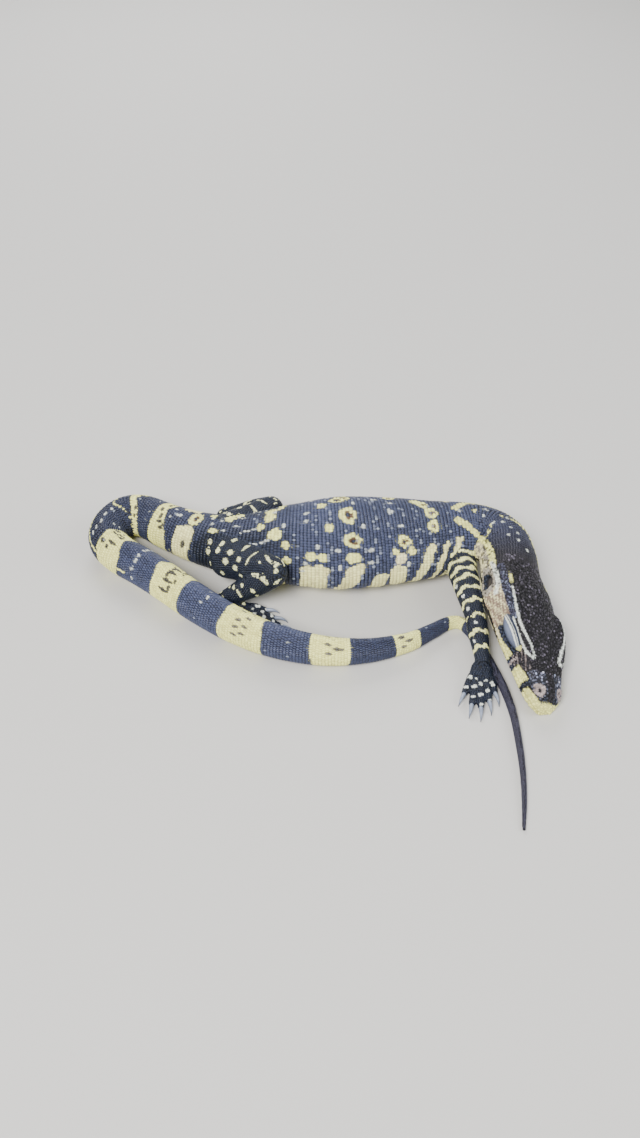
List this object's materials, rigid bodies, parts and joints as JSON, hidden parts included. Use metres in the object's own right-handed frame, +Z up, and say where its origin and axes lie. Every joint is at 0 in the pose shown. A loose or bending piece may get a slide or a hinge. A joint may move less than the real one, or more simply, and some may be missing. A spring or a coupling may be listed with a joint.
{
  "type": "water monitor lizard",
  "caption": "Young water monitor lizard asleep on its belly, head turned to its right and tail folded back beside the body, as a still life-size museum model.",
  "frame": {"origin": "middle of the animal's box, at the level its underside rests on", "axes": "+X from the fold of the tail towards the head, along the trunk, +Y towards the animal's left flank, +Z up"},
  "size_m": [0.1296, 0.11, 0.02],
  "materials": {
    "skin": "blue-black scaled skin with straw-yellow bands, bars and rings, softly glossy",
    "pale_skin": "straw-yellow scaled skin with dark bars, softly glossy",
    "lid": "fine-grained blue-grey closed eyelid with a pale rim",
    "eardrum": "thin smooth brown-grey membrane",
    "claw": "polished blue-grey horn"
  },
  "bodies": {
    "root": {"neck_front": "skin", "neck_rear": "skin", "chest": "skin", "belly": "skin", "pelvis": "skin", "tail_base": "skin", "tail_fold_1": "skin", "tail_fold_2": "skin", "tail_fold_3": "skin", "tail_return_1": "skin", "tail_return_2": "skin", "tail_return_3": "skin", "tail_return_4": "skin", "tail_whip_1": "skin", "tail_whip_2": "skin", "tail_whip_3": "skin", "head": "skin", "lower_jaw": "pale_skin", "eyelids_left": "lid", "eardrum_left": "eardrum", "eyelids_right": "lid", "eardrum_right": "eardrum", "right_upper_arm": "skin", "right_forearm": "skin", "right_hand": "skin", "right_thigh": "skin", "right_shank": "skin", "right_foot": "skin", "left_upper_arm": "skin", "left_forearm": "skin", "left_hand": "skin", "left_thigh": "skin", "left_shank": "skin", "left_foot": "skin"}
  },
  "joints": []
}
